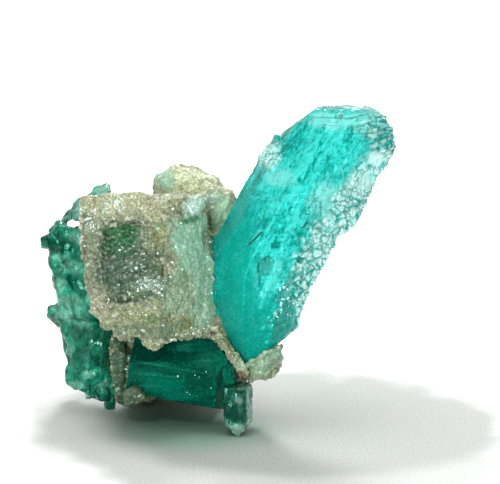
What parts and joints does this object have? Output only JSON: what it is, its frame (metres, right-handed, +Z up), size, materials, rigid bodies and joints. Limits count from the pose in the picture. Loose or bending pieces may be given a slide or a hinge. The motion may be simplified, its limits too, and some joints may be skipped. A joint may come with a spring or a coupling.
{
  "type": "paraiba tourmaline crystal specimen",
  "caption": "Natural mineral specimen: a long leaning turquoise tourmaline crystal with darker green crystals grown through a sugary pale matrix rock.",
  "frame": {"origin": "middle of the specimen's footprint, at the height of the surface that it rests on", "axes": "+Z up; +X the specimen's long side, towards the top of the leaning turquoise crystal; -Y the display side"},
  "size_m": [0.0162, 0.0094, 0.0143],
  "materials": {
    "matrix_rock": "matte",
    "paraiba_crystal": "gloss",
    "green_crystal": "gloss",
    "dark_crystal": "gloss",
    "pale_crystal": "gloss"
  },
  "bodies": {
    "root": {"matrix_rock": "matrix_rock", "paraiba_crystal": "paraiba_crystal", "left_crystal_cluster": "green_crystal", "lower_prism": "dark_crystal", "pale_tip_crystal": "pale_crystal"}
  },
  "joints": []
}
